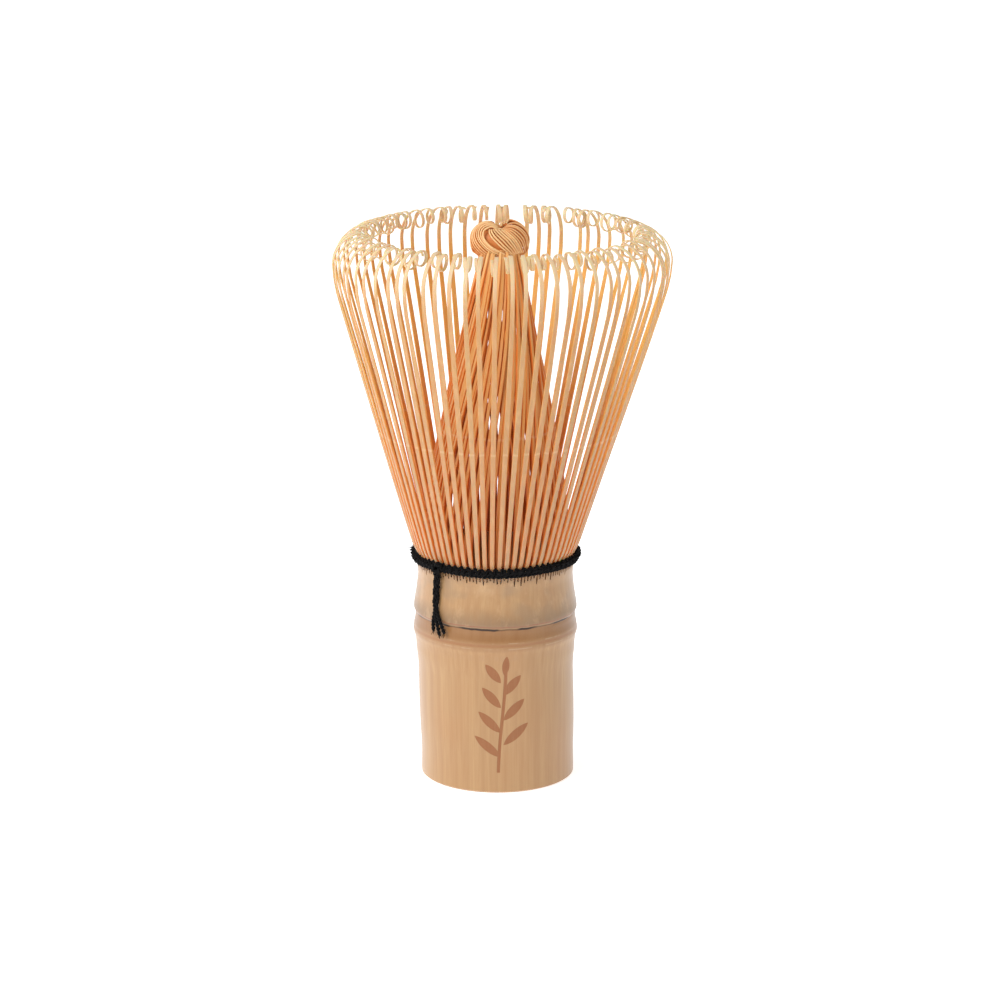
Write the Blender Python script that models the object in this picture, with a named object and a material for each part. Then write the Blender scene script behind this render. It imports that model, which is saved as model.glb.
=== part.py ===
"""Bamboo tea whisk: a culm handle split into curled outer tines and a knotted inner bundle, bound with thread.

Metres, +Z up. The origin is the centre of the flat foot that the whisk stands on.
"""
import math

import bmesh
import bpy
from mathutils import Vector

MM = 0.001

# Driving dimensions
SPLITS = 18                     # primary splits of the culm
TINES_PER_SPLIT = 4             # outer tines in each split, and as many inner ones
CLEARANCE = 0.30 * MM           # gap between neighbouring solids
FOOT_RADIUS = 13.96 * MM
BORE_RADIUS = 9.9 * MM
BORE_DEPTH = 27.6 * MM          # from the foot to the underside of the node's diaphragm
DIAPHRAGM_TOP = 32.2 * MM
CUP_RADIUS = 12.35 * MM
RIM_HEIGHT = 40.3 * MM          # where the splits begin
THREAD_HEIGHT = 41.6 * MM       # middle of the binding
TINE_TOP = 101.1 * MM           # highest point of the curled tips
KNOT_HEIGHT = 99.3 * MM         # middle of the tied knot
CULM_SIDES = 40

# Outline of the culm's bark side from foot to rim, as (radius, height)
BARK_OUTLINE = [
    (FOOT_RADIUS - 0.35 * MM, 0.0), (FOOT_RADIUS, 0.5 * MM), (13.95 * MM, 6.0 * MM), (14.16 * MM, 15.0 * MM),
    (14.15 * MM, 21.0 * MM), (14.48 * MM, 25.0 * MM), (14.92 * MM, 27.6 * MM), (14.54 * MM, 30.1 * MM),
    (14.84 * MM, 31.5 * MM), (14.42 * MM, 34.7 * MM), (14.04 * MM, 37.7 * MM), (14.2 * MM, RIM_HEIGHT),
]

# Middle line of an outer tine above the binding, as (radius, height)
FLARE = [(14.85 * MM, 43.3 * MM), (17.9 * MM, 54.0 * MM), (24.2 * MM, 75.2 * MM), (29.5 * MM, 91.2 * MM)]
TIP_WIDTH = 1.0 * MM
ROOT_WIDTH = 0.82 * MM
TIP_THICKNESS = 0.22 * MM
ROOT_THICKNESS = 0.60 * MM

# Middle line of an inner tine from its root to the knot, as (radius, height, turn in degrees, share of the pitch)
GATHER = [
    (13.1 * MM, 40.6 * MM, 0.0, 0.70), (13.1 * MM, 42.4 * MM, 0.0, 0.70), (12.4 * MM, 51.0 * MM, 3.0, 0.72),
    (10.1 * MM, 66.0 * MM, 10.0, 0.74), (7.2 * MM, 80.0 * MM, 19.0, 0.78), (3.95 * MM, 95.0 * MM, 30.0, 0.84),
]


def clear_scene():
    for thing in list(bpy.data.objects):
        bpy.data.objects.remove(thing, do_unlink=True)


def make_material(name, colour, roughness):
    material = bpy.data.materials.new(name)
    material.use_nodes = True
    shader = material.node_tree.nodes["Principled BSDF"]
    shader.inputs["Base Color"].default_value = (*colour, 1.0)
    shader.inputs["Roughness"].default_value = roughness
    shader.inputs["Metallic"].default_value = 0.0
    return material


def add_mesh_object(name, bm, material, smooth_angle=40.0):
    bmesh.ops.recalc_face_normals(bm, faces=bm.faces)
    mesh = bpy.data.meshes.new(name)
    bm.to_mesh(mesh)
    bm.free()
    mesh.shade_smooth()
    mesh.set_sharp_from_angle(angle=math.radians(smooth_angle))
    mesh.materials.append(material)
    thing = bpy.data.objects.new(name, mesh)
    bpy.context.scene.collection.objects.link(thing)
    return thing


def smooth_path(points, steps):
    """A Catmull-Rom curve through the points, with this many steps between neighbours."""
    vectors = [Vector(point) for point in points]
    ends = [vectors[0] * 2 - vectors[1]] + vectors + [vectors[-1] * 2 - vectors[-2]]
    path = []
    for i in range(1, len(ends) - 2):
        before, start, finish, after = ends[i - 1:i + 3]
        for step in range(steps):
            t = step / steps
            path.append(0.5 * (2 * start + (finish - before) * t
                               + (2 * before - 5 * start + 4 * finish - after) * t ** 2
                               + (3 * start - before - 3 * finish + after) * t ** 3))
    path.append(vectors[-1])
    return path


def radial(angle):
    return Vector((math.cos(angle), math.sin(angle), 0.0))


def tangential(angle):
    return Vector((-math.sin(angle), math.cos(angle), 0.0))


def add_turned_solid(name, outline, material, sides):
    """Turns an outline of (radius, height) points round the +Z axis."""
    bm = bmesh.new()
    verts = [bm.verts.new((radius, 0.0, height)) for radius, height in outline]
    edges = [bm.edges.new(pair) for pair in zip(verts, verts[1:])]
    if outline[0][0] > 0.0:
        edges.append(bm.edges.new((verts[-1], verts[0])))
    bmesh.ops.spin(bm, geom=verts + edges, cent=(0, 0, 0), axis=(0, 0, 1), angle=math.tau, steps=sides,
                   use_merge=True)
    bmesh.ops.remove_doubles(bm, verts=bm.verts, dist=0.00001)
    return add_mesh_object(name, bm, material)


def add_culm(material):
    """The handle: a hollow bamboo internode, its node with the closed diaphragm, and the cup above it."""
    bark = [tuple(point) for point in smooth_path(BARK_OUTLINE, 2)]
    bore = [(0.0, BORE_DEPTH + 1.4 * MM), (5.5 * MM, BORE_DEPTH + 1.1 * MM), (8.7 * MM, BORE_DEPTH),
            (BORE_RADIUS, BORE_DEPTH - 2.2 * MM), (BORE_RADIUS, 0.4 * MM), (BORE_RADIUS + 0.4 * MM, 0.0)]
    cup = [(CUP_RADIUS, RIM_HEIGHT), (CUP_RADIUS, 36.0 * MM), (11.0 * MM, DIAPHRAGM_TOP + 0.9 * MM),
           (8.0 * MM, DIAPHRAGM_TOP), (0.0, DIAPHRAGM_TOP - 0.5 * MM)]
    return add_turned_solid("handle", bore + bark + cup, material, CULM_SIDES)


def add_comb(name, middle, stations, windows, material):
    """One split group: a slit sheet of tines on a root strip, given its thickness by Solidify.

    Each station is (radius, height, turn, tine width, thickness), and windows holds the numbers of the
    stretches between stations where the tines stand apart.
    """
    pitch = math.tau / (SPLITS * TINES_PER_SPLIT)
    bm = bmesh.new()
    weights = bm.verts.layers.deform.verify()
    thickest = max(station[4] for station in stations)
    rows = []
    for radius, height, turn, width, thickness in stations:
        row = []
        for tine in range(TINES_PER_SPLIT):
            angle = middle + turn + (tine - (TINES_PER_SPLIT - 1) / 2) * pitch
            for side in (-0.5, 0.5):
                place = radial(angle) * radius + tangential(angle) * width * side + Vector((0, 0, height))
                vert = bm.verts.new(place)
                vert[weights][0] = thickness / thickest
                row.append(vert)
        rows.append(row)
    for stretch, (low, high) in enumerate(zip(rows, rows[1:])):
        for column in range(len(low) - 1):
            between_tines = column % 2 == 1
            if between_tines and stretch in windows:
                continue
            bm.faces.new((low[column], low[column + 1], high[column + 1], high[column]))
    thing = add_mesh_object(name, bm, material)
    thing.vertex_groups.new(name="thickness")
    solidify = thing.modifiers.new("thickness", "SOLIDIFY")
    solidify.thickness = thickest
    solidify.offset = 0.0
    solidify.vertex_group = "thickness"
    return thing


def outer_stations():
    """The outer tine's middle line: root, flare, shoulder bent inwards, and the small curl at the tip."""
    root = [(14.05 * MM, RIM_HEIGHT + CLEARANCE), (14.08 * MM, 42.3 * MM)]
    shoulder_radius = 6.0 * MM
    curl_radius = 1.6 * MM
    curl_centre = (FLARE[-1][0] - 5.0 * MM, TINE_TOP - curl_radius - 0.5 * TIP_THICKNESS)
    shoulder_centre = (FLARE[-1][0] - shoulder_radius + 0.7 * MM, TINE_TOP - shoulder_radius - 0.3 * MM)
    path = root + FLARE
    for degrees in (20.0, 52.0):
        angle = math.radians(degrees)
        path.append((shoulder_centre[0] + shoulder_radius * math.cos(angle),
                     shoulder_centre[1] + shoulder_radius * math.sin(angle)))
    for degrees in (85.0, 145.0, 205.0, 265.0):
        angle = math.radians(degrees)
        path.append((curl_centre[0] + curl_radius * math.cos(angle),
                     curl_centre[1] + curl_radius * math.sin(angle)))
    stations = []
    for radius, height in path:
        share = min(1.0, max(0.0, (height - FLARE[0][1]) / (FLARE[-1][1] - FLARE[0][1])))
        width = ROOT_WIDTH + (TIP_WIDTH - ROOT_WIDTH) * share
        thickness = ROOT_THICKNESS + (TIP_THICKNESS - ROOT_THICKNESS) * share
        stations.append((radius, height, 0.0, width, thickness))
    return stations


def inner_stations():
    """The inner tine's middle line: it leans in and round, and closes on its neighbours below the knot."""
    stations = []
    for radius, height, turn, share in GATHER:
        pitch_width = (math.tau * radius / SPLITS - CLEARANCE) / TINES_PER_SPLIT
        joined = height > GATHER[-2][1] - 0.1 * MM
        width = pitch_width * share
        thickness = (0.55 if not joined else 0.9) * MM
        stations.append((radius, height, math.radians(turn), width, thickness))
    return stations


def add_knot(material):
    """The gathered ends of the inner tines, twisted and tied into a two-lobed knot."""
    bm = bmesh.new()
    bmesh.ops.create_uvsphere(bm, u_segments=20, v_segments=12, radius=1.0)
    half_width, half_depth, half_height = 5.3 * MM, 4.4 * MM, 3.6 * MM
    for vert in bm.verts:
        x, y, z = vert.co
        azimuth = math.atan2(y, x)
        twist_groove = 1.0 - 0.10 * math.exp(-((math.sin(azimuth + z * 1.4)) / 0.28) ** 2) * (1 - z * z)
        dimple = 1.0 - 0.22 * math.exp(-(x / 0.35) ** 2) * max(0.0, z) ** 2
        vert.co = (x * half_width * twist_groove, y * half_depth * twist_groove,
                   KNOT_HEIGHT + z * half_height * dimple)
    return add_mesh_object("twist_knot", bm, material)


def add_binding(material):
    """The black thread wound round the tine roots."""
    half_height = 0.7 * MM
    inner, outer = 14.72 * MM, 15.42 * MM
    outline = [(inner, THREAD_HEIGHT - half_height), (outer - 0.2 * MM, THREAD_HEIGHT - half_height),
               (outer, THREAD_HEIGHT - 0.3 * MM), (outer, THREAD_HEIGHT + 0.3 * MM),
               (outer - 0.2 * MM, THREAD_HEIGHT + half_height), (inner, THREAD_HEIGHT + half_height)]
    return add_turned_solid("binding_thread", outline, material, CULM_SIDES)


def add_thread_knot(material):
    """The knot that ties off the binding, at the front left."""
    bm = bmesh.new()
    bmesh.ops.create_uvsphere(bm, u_segments=10, v_segments=7, radius=1.0)
    angle = math.radians(-135.3)
    centre = radial(angle) * 16.5 * MM + Vector((0, 0, 42.1 * MM))
    for vert in bm.verts:
        vert.co = (centre + radial(angle) * vert.co.x * 0.7 * MM + tangential(angle) * vert.co.y * 1.1 * MM
                   + Vector((0, 0, vert.co.z * 0.9 * MM)))
    return add_mesh_object("thread_knot", bm, material)


def add_thread_tail(name, route, material):
    """A hanging strand of the thread's end. The route is (degrees, distance from the axis, height)."""
    curve = bpy.data.curves.new(name, "CURVE")
    curve.dimensions = "3D"
    curve.bevel_depth = 0.25 * MM
    curve.bevel_resolution = 2
    curve.use_fill_caps = True
    points = []
    for degrees, distance, height in smooth_path(route, 3):
        points.append(radial(math.radians(degrees)) * distance * MM + Vector((0, 0, height * MM)))
    spline = curve.splines.new("POLY")
    spline.points.add(len(points) - 1)
    for spline_point, place in zip(spline.points, points):
        spline_point.co = (*place, 1.0)
    curve.materials.append(material)
    thing = bpy.data.objects.new(name, curve)
    bpy.context.scene.collection.objects.link(thing)
    return thing


def build():
    clear_scene()
    bamboo = make_material("bamboo_culm", (0.66, 0.45, 0.26), 0.42)
    tines = make_material("bamboo_tine", (0.78, 0.52, 0.27), 0.50)
    thread = make_material("black_thread", (0.02, 0.018, 0.018), 0.85)
    add_culm(bamboo)
    outer = outer_stations()
    inner = inner_stations()
    for split in range(SPLITS):
        middle = math.tau * (split + 0.5) / SPLITS
        number = f"{split + 1:02d}"
        add_comb(f"outer_tines_{number}", middle, outer, range(1, len(outer)), tines)
        add_comb(f"inner_tines_{number}", middle, inner, range(1, len(inner) - 2), tines)
    add_knot(tines)
    add_binding(thread)
    add_thread_knot(thread)
    add_thread_tail("thread_tail_1", [(-140.6, 16.2, 40.9), (-142.6, 15.5, 37.0), (-143.0, 15.3, 33.5),
                                      (-142.0, 15.75, 29.3)], thread)
    add_thread_tail("thread_tail_2", [(-137.2, 16.2, 40.8), (-139.2, 15.5, 37.0), (-138.6, 15.3, 33.5),
                                      (-134.4, 15.75, 28.7)], thread)
    add_thread_tail("thread_tail_3", [(-133.8, 16.2, 40.8), (-135.6, 15.5, 37.0), (-134.6, 15.35, 33.5),
                                      (-129.2, 15.75, 29.5)], thread)


build()
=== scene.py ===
import math
import random

import bmesh
import bpy
from mathutils import Matrix, Vector


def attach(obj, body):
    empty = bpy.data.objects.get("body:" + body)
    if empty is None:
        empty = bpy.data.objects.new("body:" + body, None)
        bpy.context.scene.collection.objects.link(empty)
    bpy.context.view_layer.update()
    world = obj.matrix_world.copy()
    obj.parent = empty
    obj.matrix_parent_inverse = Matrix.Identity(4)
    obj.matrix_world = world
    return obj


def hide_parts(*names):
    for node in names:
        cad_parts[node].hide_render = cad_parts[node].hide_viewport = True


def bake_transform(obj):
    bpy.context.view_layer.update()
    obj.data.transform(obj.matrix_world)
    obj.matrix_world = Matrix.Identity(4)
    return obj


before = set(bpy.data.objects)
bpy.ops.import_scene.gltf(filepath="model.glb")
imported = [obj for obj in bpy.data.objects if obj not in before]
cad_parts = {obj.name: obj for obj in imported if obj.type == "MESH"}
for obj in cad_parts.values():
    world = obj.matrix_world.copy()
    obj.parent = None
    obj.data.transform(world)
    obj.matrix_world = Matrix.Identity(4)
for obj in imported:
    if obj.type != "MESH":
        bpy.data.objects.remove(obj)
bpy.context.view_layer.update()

# ---------------------------------------------------------------------------------------------------
# The table top and the light. The whisk stands on a plain white sweep, seen through a long lens from a
# little above. A large soft light is at its upper left, a faint one at its right, and a low one behind its
# left edge.
MM = 0.001
LENS_PLACE = (0.0, -652.37 * MM, 220.99 * MM)
LENS_AIM = Vector((0.0, 0.0, 51.30 * MM))
LIGHT_AIM = Vector((0.0, 0.0, 0.05))
DAYLIGHT = 0.53
SWEEP_GLOW = 0.65
WHITE = (1.0, 1.0, 1.0, 1.0)
SWEEP_WHITE = (0.86, 0.86, 0.86, 1.0)

camera = bpy.data.objects.new("camera", bpy.data.cameras.new("camera"))
bpy.context.scene.collection.objects.link(camera)
bpy.context.scene.camera = camera
camera.data.sensor_width = 36.0
camera.data.lens = 133.73
camera.data.clip_start = 0.01
camera.data.clip_end = 20.0
camera.location = LENS_PLACE
camera.rotation_euler = (LENS_AIM - camera.location).to_track_quat("-Z", "Y").to_euler()

bpy.context.scene.view_settings.view_transform = "Standard"
world = bpy.data.worlds.new("studio")
bpy.context.scene.world = world
world.use_nodes = True
world.node_tree.nodes["Background"].inputs["Color"].default_value = WHITE
world.node_tree.nodes["Background"].inputs["Strength"].default_value = DAYLIGHT


def softbox(name, place, size, power):
    """A round soft light, its size in metres and its power in watts, turned towards the whisk."""
    light = bpy.data.objects.new(name, bpy.data.lights.new(name, "AREA"))
    bpy.context.scene.collection.objects.link(light)
    light.data.shape = "DISK"
    light.data.size = size
    light.data.energy = power
    light.location = place
    light.rotation_euler = (LIGHT_AIM - Vector(place)).to_track_quat("-Z", "Y").to_euler()


softbox("key_light", (-0.55, -0.55, 0.75), 0.55, 6.5)
softbox("fill_light", (0.75, -0.30, 0.35), 0.60, 0.2)
softbox("edge_light", (-0.70, 0.22, 0.20), 0.45, 1.2)

bpy.ops.object.select_all(action="DESELECT")
bpy.ops.mesh.primitive_grid_add(x_subdivisions=8, y_subdivisions=8, size=8.0,
                                location=(0.0, 0.0, -0.05 * MM))
table_top = bpy.context.object
table_top.name = "table_top"
table_paint = bpy.data.materials.new("white_sweep")
table_paint.use_nodes = True
table_shader = table_paint.node_tree.nodes["Principled BSDF"]
table_shader.inputs["Base Color"].default_value = SWEEP_WHITE
table_shader.inputs["Roughness"].default_value = 0.9
table_shader.inputs["Emission Color"].default_value = WHITE
table_shader.inputs["Emission Strength"].default_value = SWEEP_GLOW
table_top.data.materials.append(table_paint)

# ---------------------------------------------------------------------------------------------------
# The culm. A thick length of dried bamboo: the hollow handle below, the node ring with its closed
# diaphragm, and the upper end that is slit between the tines. It is sawn square at the foot, and its
# bark is left on, polished, and burnt with a small sprig.

# outlines as (distance from the axis, height) in millimetres
BARK = [(13.62, 0.0), (13.90, 0.25), (13.96, 0.8), (13.93, 5.0), (14.10, 10.0), (14.16, 15.0),
        (14.14, 20.0), (14.24, 22.0), (14.42, 23.8), (14.50, 25.2), (14.68, 26.4), (14.93, 27.3),
        (14.90, 28.2), (14.68, 29.2), (14.55, 30.1), (14.60, 30.8), (14.84, 31.5), (14.80, 32.3),
        (14.62, 33.4), (14.42, 34.7), (14.23, 36.2), (14.08, 37.7), (14.12, 38.6), (14.22, 39.4),
        (14.34, 40.4), (14.40, 41.4), (14.36, 42.0)]
BORE = [(0.5, 28.9), (3.0, 28.8), (6.0, 28.4), (8.2, 27.6), (9.3, 26.4), (9.8, 24.5), (9.9, 20.0),
        (9.95, 12.0), (10.0, 5.0), (10.05, 0.7), (10.35, 0.0)]
CUP = [(12.4, 42.0), (12.35, 38.0), (12.0, 35.0), (11.0, 33.2), (8.0, 32.2), (3.0, 31.8), (0.5, 31.7)]
CULM_TOP = 42.0
COLUMNS = 288
TINE_PITCH = math.radians(5.0)
SPLIT_PITCH = TINE_PITCH / 2
SPLIT_FOOT_LOWEST = 38.8
SPLIT_FOOT_HIGHEST = 40.0
SPLIT_FOOT_SPREAD = 0.45
SPLIT_FLOOR = 0.968
SPLIT_NARROWEST = 0.09
SPLIT_OPENING = 1.05
SCAR_HEIGHT = 31.0
SCAR_DEPTH = 0.010
LEDGE_HEIGHT = 28.05
LEDGE_DEPTH = 0.0065
BARK_FROM = 13.2
BARK_ROW = 0.30
WALL_ROW = 1.6

# the culm's slight bow: how far its foot, its node and the whole height of the tines stand to one side
BOW_AT_FOOT = -0.46
BOW_TO_NODE = -0.40
BOW_TO_TIPS = 1.25

# bark colours
BARK_PALE = (0.405, 0.222, 0.094)
BARK_GOLD = (0.462, 0.274, 0.122)
BARK_FIBRE = (0.375, 0.190, 0.074)
BARK_CLOUD = (0.420, 0.208, 0.082)
SMOKED_BROWN = (0.240, 0.142, 0.072)
STAIN_GREY = (0.270, 0.178, 0.105)
RUBBED_SPOT = (0.62, 0.40, 0.22)
NODE_BROWN = (0.262, 0.110, 0.027)
LEDGE_BROWN = (0.330, 0.130, 0.042)
PALE_SCRATCH = (0.72, 0.58, 0.44)
UPPER_SCRATCH = (0.72, 0.56, 0.40)
LEDGE_CREST_SHADE = (0.330, 0.165, 0.068)
FAINT_RING = (0.40, 0.22, 0.11)
SCAR_RED = (0.30, 0.105, 0.050)
SCAR_BLACK = (0.035, 0.017, 0.010)
DARKER_UNDER_THREAD = (0.230, 0.115, 0.056)
BARE_FLESH = (0.60, 0.38, 0.19)
SPLIT_SHADE_BROWN = (0.180, 0.078, 0.032)
SCORCHED = (0.285, 0.098, 0.026)


def smooth_outline(points, spacing):
    """Points along a Catmull-Rom curve through the given ones, about this far apart."""
    vectors = [Vector(point) for point in points]
    ends = [vectors[0] * 2 - vectors[1]] + vectors + [vectors[-1] * 2 - vectors[-2]]
    path = []
    for i in range(1, len(ends) - 2):
        before, start, finish, after = ends[i - 1:i + 3]
        steps = max(1, round((finish - start).length / spacing))
        for step in range(steps):
            t = step / steps
            path.append(0.5 * (2 * start + (finish - before) * t
                               + (2 * before - 5 * start + 4 * finish - after) * t ** 2
                               + (3 * start - before - 3 * finish + after) * t ** 3))
    path.append(vectors[-1])
    return path


def start_piece(name):
    """Names the primitive that was just added, puts its place into its mesh, and opens it for editing."""
    piece = bpy.context.object
    piece.name = name
    piece.data.name = name
    bpy.ops.object.transform_apply(location=True, rotation=True, scale=True)
    bpy.ops.object.mode_set(mode="EDIT")
    return piece


def pick_faces(piece, test):
    """Selects the faces whose middle and normal pass the test, and no others."""
    bpy.ops.mesh.select_mode(type="FACE")
    bpy.ops.mesh.select_all(action="DESELECT")
    bm = bmesh.from_edit_mesh(piece.data)
    for face in bm.faces:
        face.select_set(test(face.calc_center_median(), face.normal))
    bmesh.update_edit_mesh(piece.data)


def pick_edge_ring(piece, test):
    """Selects the edges whose two ends both pass the test, and no others."""
    bpy.ops.mesh.select_mode(type="EDGE")
    bpy.ops.mesh.select_all(action="DESELECT")
    bm = bmesh.from_edit_mesh(piece.data)
    for edge in bm.edges:
        edge.select_set(all(test(vert.co) for vert in edge.verts))
    bmesh.update_edit_mesh(piece.data)


def eased(share):
    """0 to 1 with a soft start and a soft end."""
    share = max(0.0, min(1.0, share))
    return share * share * (3 - 2 * share)


def lean(piece, top=BOW_TO_TIPS):
    """The culm grew a little crooked: every piece follows the same slight bow to one side."""
    for vert in piece.data.vertices:
        height = vert.co.z / MM
        below, above = eased(height / 27.0), eased((height - 30.0) / 70.0)
        vert.co.x += MM * (BOW_AT_FOOT + BOW_TO_NODE * below + top * above)


bpy.ops.object.select_all(action="DESELECT")
culm_outline = smooth_outline(BORE, WALL_ROW)
culm_outline += smooth_outline(BARK, BARK_ROW) + smooth_outline(CUP, WALL_ROW)
bpy.ops.mesh.primitive_circle_add(vertices=COLUMNS, radius=culm_outline[0][0] * MM,
                                  location=(0.0, 0.0, culm_outline[0][1] * MM))
culm = start_piece("culm")
bpy.ops.transform.rotate(value=math.pi / COLUMNS, orient_axis="Z", center_override=(0.0, 0.0, 0.0))
for (radius, height), (next_radius, next_height) in zip(culm_outline, culm_outline[1:]):
    rise = (0.0, 0.0, (next_height - height) * MM)
    bpy.ops.mesh.extrude_region_move(TRANSFORM_OT_translate={"value": rise})
    widen = next_radius / radius
    bpy.ops.transform.resize(value=(widen, widen, 1.0), center_override=(0.0, 0.0, next_height * MM))
bpy.ops.mesh.edge_face_add()
pick_edge_ring(culm, lambda co: abs(co.z - BORE[0][1] * MM) < 0.05 * MM and co.xy.length < 1.0 * MM)
bpy.ops.mesh.edge_face_add()
bpy.ops.mesh.select_all(action="SELECT")
bpy.ops.mesh.normals_make_consistent(inside=False)

# the splits between the tines, outer and inner in turn, run on a little below the thread, each to its
# own depth
split_seed = random.Random(11)
split_foot = []
for _ in range(round(math.tau / SPLIT_PITCH)):
    deeper = abs(split_seed.gauss(0.0, SPLIT_FOOT_SPREAD))
    split_foot.append(max(SPLIT_FOOT_LOWEST, SPLIT_FOOT_HIGHEST - deeper))


def nearest_split(place):
    """The number of the nearest split, and how far off its middle the place is, in radians."""
    angle = math.atan2(place.y, place.x)
    number = round(angle / SPLIT_PITCH - 0.5)
    return number % len(split_foot), angle - (number + 0.5) * SPLIT_PITCH


def in_split(centre, normal):
    number, off_middle = nearest_split(centre)
    outside = centre.xy.length > 13.6 * MM and abs(normal.z) < 0.7
    return outside and abs(off_middle) < math.pi / COLUMNS and centre.z > split_foot[number] * MM


pick_faces(culm, in_split)
bpy.ops.mesh.extrude_region_move()
bpy.ops.transform.resize(value=(SPLIT_FLOOR, SPLIT_FLOOR, 1.0), center_override=(0.0, 0.0, 0.0))
bpy.ops.object.mode_set(mode="OBJECT")

# the splits open upwards, the scar and the ledge are cut in, and the whole culm is a little out of round
reach = culm.data.attributes.new("reach", "FLOAT", "POINT")
for vert, own in zip(culm.data.vertices, reach.data):
    own.value = vert.co.xy.length / MM
    turned, level = math.atan2(vert.co.y, vert.co.x), vert.co.z / MM
    if own.value > BARK_FROM:
        number, off_middle = nearest_split(vert.co)
        if abs(off_middle) < math.radians(0.8) and level > split_foot[number] - 0.35:
            open_share = (level - split_foot[number] + 0.3) / (CULM_TOP - split_foot[number])
            opening = SPLIT_NARROWEST + SPLIT_OPENING * max(0.0, min(1.0, open_share)) ** 0.65
            widened = math.copysign(math.radians(opening), off_middle) - off_middle
            vert.co.xy = Matrix.Rotation(widened, 2) @ vert.co.xy
        scar_groove = math.exp(-((level - SCAR_HEIGHT - 0.12 * math.sin(turned * 3.0)) / 0.22) ** 2)
        ledge_groove = math.exp(-((level - LEDGE_HEIGHT - 0.08 * math.sin(turned * 2.0 + 1.0)) / 0.20) ** 2)
        vert.co.xy *= 1.0 - SCAR_DEPTH * scar_groove - LEDGE_DEPTH * ledge_groove
    if level > 0.2:
        swell = 0.0022 * math.cos(turned - 0.6) * math.sin(level / 9.0)
        out_of_round = 0.0039 * math.cos(2 * turned + 1.1)
        vert.co.xy *= 1.0 + swell + out_of_round
lean(culm)
bpy.ops.object.shade_smooth_by_angle(angle=math.radians(38.0))


class Shade:
    """A value or colour that varies over a surface. Python's operators on it add a material's Math nodes."""

    def __init__(self, tree, socket):
        self.tree = tree
        self.socket = socket

    def node(self, kind, settings=None, output=0, **sockets):
        """Adds a node. A socket is given by its name, or as n and its number where names repeat."""
        made = self.tree.nodes.new(kind)
        for setting, value in (settings or {}).items():
            setattr(made, setting, value)
        for name, value in sockets.items():
            numbered = name[0] == "n" and name[1:].isdigit()
            socket = made.inputs[int(name[1:]) if numbered else name]
            if isinstance(value, Shade):
                self.tree.links.new(value.socket, socket)
            elif socket.type == "RGBA" and len(value) == 3:
                socket.default_value = (*value, 1.0)
            else:
                socket.default_value = value
        return Shade(self.tree, made.outputs[output])

    def math(self, operation, *values):
        return self.node("ShaderNodeMath", {"operation": operation},
                         **{f"n{i}": value for i, value in enumerate((self, *values))})

    def __add__(self, other):
        return self.math("ADD", other)

    __radd__ = __add__

    def __mul__(self, other):
        return self.math("MULTIPLY", other)

    __rmul__ = __mul__

    def __sub__(self, other):
        return self.math("SUBTRACT", other)

    def __rsub__(self, other):
        return (self * -1.0) + other

    def __truediv__(self, other):
        return self.math("DIVIDE", other)

    def __pow__(self, other):
        return self.math("POWER", other)

    def rise(self, low, high):
        """0 below low, 1 above high, and smooth between them."""
        return self.node("ShaderNodeMapRange", {"interpolation_type": "SMOOTHSTEP"}, Value=self,
                         **{"From Min": low, "From Max": high})

    def band(self, middle, half, soft):
        """1 within half of the middle, falling to 0 over soft."""
        return 1.0 - (self - middle).math("ABSOLUTE").rise(half, half + soft)

    def noise(self, scale, stretch=(1.0, 1.0, 1.0), detail=3.0, roughness=0.55):
        """Grain on this place. A small last number in stretch draws the grain out up the culm."""
        place = self.node("ShaderNodeVectorMath", {"operation": "MULTIPLY"}, n0=self, n1=stretch)
        return place.node("ShaderNodeTexNoise", {"noise_dimensions": "3D"}, Vector=place, Scale=scale,
                          Detail=detail, Roughness=roughness)

    def axis(self, number):
        return self.node("ShaderNodeSeparateXYZ", None, number, Vector=self)

    def mix(self, low, high):
        """Takes this value as the share of the high colour over the low one."""
        return self.node("ShaderNodeMix", {"data_type": "RGBA"}, 2, n0=self, n6=low, n7=high)

    def stored(self, name):
        """A value that is stored on the piece's own mesh."""
        return self.node("ShaderNodeAttribute", {"attribute_type": "GEOMETRY", "attribute_name": name}, 2)


def new_finish(name, specular=0.5, coat=0.0, coat_roughness=0.2, glow=0.0):
    """A material, its shader, and the place on the piece as a Shade. What is even all over is set here."""
    finish = bpy.data.materials.new(name)
    finish.use_nodes = True
    shader = finish.node_tree.nodes["Principled BSDF"]
    shader.inputs["Specular IOR Level"].default_value = specular
    shader.inputs["Coat Weight"].default_value = coat
    shader.inputs["Coat Roughness"].default_value = coat_roughness
    shader.inputs["Subsurface Weight"].default_value = glow
    shader.inputs["Subsurface Radius"].default_value = (1.0, 0.42, 0.12)
    shader.inputs["Subsurface Scale"].default_value = 0.6 * MM
    place = finish.node_tree.nodes.new("ShaderNodeTexCoord").outputs["Object"]
    return finish, shader, Shade(finish.node_tree, place)


def finish_with(shader, colour, roughness, bump, bump_depth, strength):
    tree = colour.tree
    tree.links.new(colour.socket, shader.inputs["Base Color"])
    tree.links.new(roughness.socket, shader.inputs["Roughness"])
    relief = bump.node("ShaderNodeBump", None, 0, Strength=strength, Distance=bump_depth, Height=bump)
    tree.links.new(relief.socket, shader.inputs["Normal"])


def leaf(x, z, root, degrees, length, width):
    """A pointed leaf on the plane of x and z, in millimetres: 1 inside it and 0 outside."""
    turn = math.radians(degrees)
    along = ((x - root[0]) * math.cos(turn) + (z - root[1]) * math.sin(turn)) / length
    across = (z - root[1]) * math.cos(turn) - (x - root[0]) * math.sin(turn)
    belly = (along * (1.0 - along)).math("MAXIMUM", 0.0) ** 0.8 * (3.0 * width / 2.0)
    return (belly - across.math("ABSOLUTE")).rise(0.0, 0.12)


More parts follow.
